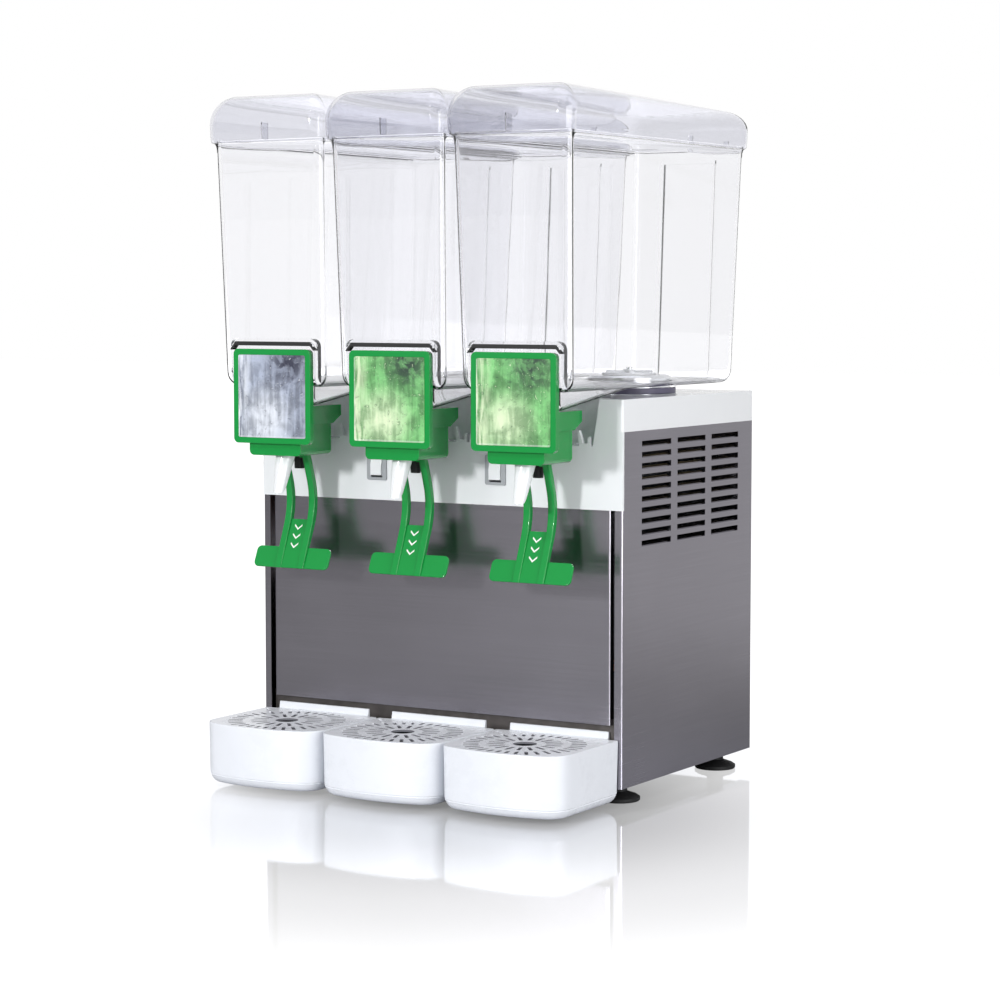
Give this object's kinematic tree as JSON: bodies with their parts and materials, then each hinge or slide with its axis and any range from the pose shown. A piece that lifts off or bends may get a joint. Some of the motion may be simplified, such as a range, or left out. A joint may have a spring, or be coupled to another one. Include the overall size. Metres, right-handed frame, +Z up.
{
  "type": "cold drink dispenser",
  "caption": "Counter-top cold drink dispenser: clear lidded bowls with green push-lever taps and white drip trays on a louvred steel cabinet",
  "frame": {"origin": "bottom centre of the overall box, on the floor under the feet", "axes": "+X to the right seen from the front, +Y to the rear, +Z up"},
  "size_m": [0.4, 0.386, 0.6509],
  "materials": {
    "steel": "satin",
    "zinc": "satin",
    "white": "gloss",
    "green": "semi-gloss",
    "clear": "clear",
    "card": "printed",
    "rubber": "matte",
    "silicone": "matte",
    "stainless": "polished",
    "spring": "bright",
    "grey": "matte",
    "black": "matte",
    "shell": "semi-gloss",
    "foam": "matte",
    "copper": "satin"
  },
  "bodies": {
    "cabinet": {"left_side_panel": "steel", "right_side_panel": "steel", "front_panel": "steel", "rear_panel": "steel", "base_pan": "zinc", "condenser": "zinc", "top_cover": "white", "feet": "rubber", "bowl_seals": "silicone", "evaporator_1": "stainless", "evaporator_2": "stainless", "evaporator_3": "stainless", "switch_bodies": "grey", "pump_motors": "grey", "fan_motor": "grey", "fan_shroud": "black", "compressor": "shell", "deck_insulation": "foam", "filter_drier": "copper", "refrigerant_lines": "copper"},
    "fan": {"fan_blade": "black"},
    "rocker_left": {"rocker_left": "white"},
    "rocker_right": {"rocker_right": "white"},
    "magnet_1": {"drive_magnet_1": "grey"},
    "stirrer_1": {"impeller_1": "white"},
    "bowl_1": {"bowl_1": "clear", "tap_body_1": "green", "tap_card_1": "card", "tap_spout_1": "white", "tap_spring_1": "spring"},
    "lid_1": {"lid_1": "clear"},
    "lever_1": {"tap_lever_1": "green"},
    "valve_1": {"tap_valve_1": "rubber"},
    "tray_1": {"drip_tray_1": "white"},
    "grid_1": {"drip_grid_1": "white"},
    "magnet_2": {"drive_magnet_2": "grey"},
    "stirrer_2": {"impeller_2": "white"},
    "bowl_2": {"bowl_2": "clear", "tap_body_2": "green", "tap_card_2": "card", "tap_spout_2": "white", "tap_spring_2": "spring"},
    "lid_2": {"lid_2": "clear"},
    "lever_2": {"tap_lever_2": "green"},
    "valve_2": {"tap_valve_2": "rubber"},
    "tray_2": {"drip_tray_2": "white"},
    "grid_2": {"drip_grid_2": "white"},
    "magnet_3": {"drive_magnet_3": "grey"},
    "stirrer_3": {"impeller_3": "white"},
    "bowl_3": {"bowl_3": "clear", "tap_body_3": "green", "tap_card_3": "card", "tap_spout_3": "white", "tap_spring_3": "spring"},
    "lid_3": {"lid_3": "clear"},
    "lever_3": {"tap_lever_3": "green"},
    "valve_3": {"tap_valve_3": "rubber"},
    "tray_3": {"drip_tray_3": "white"},
    "grid_3": {"drip_grid_3": "white"}
  },
  "joints": [
    {"name": "fan_spin", "type": "hinge", "parent": "cabinet", "child": "fan", "pos_m": [0.137, 0.058, 0.21], "axis": [1, 0, 0], "continuous": true},
    {"name": "rocker_left_tilt", "type": "hinge", "parent": "cabinet", "child": "rocker_left", "pos_m": [-0.066, -0.0745, 0.305], "axis": [1, 0, 0], "range_deg": [0, 16]},
    {"name": "rocker_right_tilt", "type": "hinge", "parent": "cabinet", "child": "rocker_right", "pos_m": [0.066, -0.0745, 0.305], "axis": [1, 0, 0], "range_deg": [0, 16]},
    {"name": "magnet_1_spin", "type": "hinge", "parent": "cabinet", "child": "magnet_1", "pos_m": [-0.132, 0.058, 0.381], "axis": [0, 0, 1], "continuous": true},
    {"name": "stirrer_1_spin", "type": "hinge", "parent": "cabinet", "child": "stirrer_1", "pos_m": [-0.132, 0.058, 0.401], "axis": [0, 0, 1], "continuous": true},
    {"name": "bowl_1_lift", "type": "slide", "parent": "cabinet", "child": "bowl_1", "axis": [0, 0, 1], "range_m": [0, 0.15]},
    {"name": "lid_1_lift", "type": "slide", "parent": "bowl_1", "child": "lid_1", "axis": [0, 0, 1], "range_m": [0, 0.15]},
    {"name": "lever_1_push", "type": "hinge", "parent": "bowl_1", "child": "lever_1", "pos_m": [-0.132, -0.121, 0.322], "axis": [1, 0, 0], "range_deg": [0, 16], "stiffness_Nm_per_rad": 0.6},
    {"name": "valve_1_rise", "type": "slide", "parent": "bowl_1", "child": "valve_1", "axis": [0, 0, 1], "range_m": [0, 0.0028], "deforming": ["tap_spring_1"]},
    {"name": "tray_1_pull", "type": "slide", "parent": "cabinet", "child": "tray_1", "axis": [0, -1, 0], "range_m": [0, 0.12]},
    {"name": "grid_1_lift", "type": "slide", "parent": "tray_1", "child": "grid_1", "axis": [0, 0, 1], "range_m": [0, 0.05]},
    {"name": "magnet_2_spin", "type": "hinge", "parent": "cabinet", "child": "magnet_2", "pos_m": [0, 0.058, 0.381], "axis": [0, 0, 1], "continuous": true},
    {"name": "stirrer_2_spin", "type": "hinge", "parent": "cabinet", "child": "stirrer_2", "pos_m": [0, 0.058, 0.401], "axis": [0, 0, 1], "continuous": true},
    {"name": "bowl_2_lift", "type": "slide", "parent": "cabinet", "child": "bowl_2", "axis": [0, 0, 1], "range_m": [0, 0.15]},
    {"name": "lid_2_lift", "type": "slide", "parent": "bowl_2", "child": "lid_2", "axis": [0, 0, 1], "range_m": [0, 0.15]},
    {"name": "lever_2_push", "type": "hinge", "parent": "bowl_2", "child": "lever_2", "pos_m": [0, -0.121, 0.322], "axis": [1, 0, 0], "range_deg": [0, 16], "stiffness_Nm_per_rad": 0.6},
    {"name": "valve_2_rise", "type": "slide", "parent": "bowl_2", "child": "valve_2", "axis": [0, 0, 1], "range_m": [0, 0.0028], "deforming": ["tap_spring_2"]},
    {"name": "tray_2_pull", "type": "slide", "parent": "cabinet", "child": "tray_2", "axis": [0, -1, 0], "range_m": [0, 0.12]},
    {"name": "grid_2_lift", "type": "slide", "parent": "tray_2", "child": "grid_2", "axis": [0, 0, 1], "range_m": [0, 0.05]},
    {"name": "magnet_3_spin", "type": "hinge", "parent": "cabinet", "child": "magnet_3", "pos_m": [0.132, 0.058, 0.381], "axis": [0, 0, 1], "continuous": true},
    {"name": "stirrer_3_spin", "type": "hinge", "parent": "cabinet", "child": "stirrer_3", "pos_m": [0.132, 0.058, 0.401], "axis": [0, 0, 1], "continuous": true},
    {"name": "bowl_3_lift", "type": "slide", "parent": "cabinet", "child": "bowl_3", "axis": [0, 0, 1], "range_m": [0, 0.15]},
    {"name": "lid_3_lift", "type": "slide", "parent": "bowl_3", "child": "lid_3", "axis": [0, 0, 1], "range_m": [0, 0.15]},
    {"name": "lever_3_push", "type": "hinge", "parent": "bowl_3", "child": "lever_3", "pos_m": [0.132, -0.121, 0.322], "axis": [1, 0, 0], "range_deg": [0, 16], "stiffness_Nm_per_rad": 0.6},
    {"name": "valve_3_rise", "type": "slide", "parent": "bowl_3", "child": "valve_3", "axis": [0, 0, 1], "range_m": [0, 0.0028], "deforming": ["tap_spring_3"]},
    {"name": "tray_3_pull", "type": "slide", "parent": "cabinet", "child": "tray_3", "axis": [0, -1, 0], "range_m": [0, 0.12]},
    {"name": "grid_3_lift", "type": "slide", "parent": "tray_3", "child": "grid_3", "axis": [0, 0, 1], "range_m": [0, 0.05]}
  ],
  "couplings": [
    {"joint": "stirrer_1_spin", "follows": "magnet_1_spin", "ratio": 1},
    {"joint": "valve_1_rise", "follows": "lever_1_push", "m_per_rad": 0.00985},
    {"joint": "stirrer_2_spin", "follows": "magnet_2_spin", "ratio": 1},
    {"joint": "valve_2_rise", "follows": "lever_2_push", "m_per_rad": 0.00985},
    {"joint": "stirrer_3_spin", "follows": "magnet_3_spin", "ratio": 1},
    {"joint": "valve_3_rise", "follows": "lever_3_push", "m_per_rad": 0.00985}
  ]
}
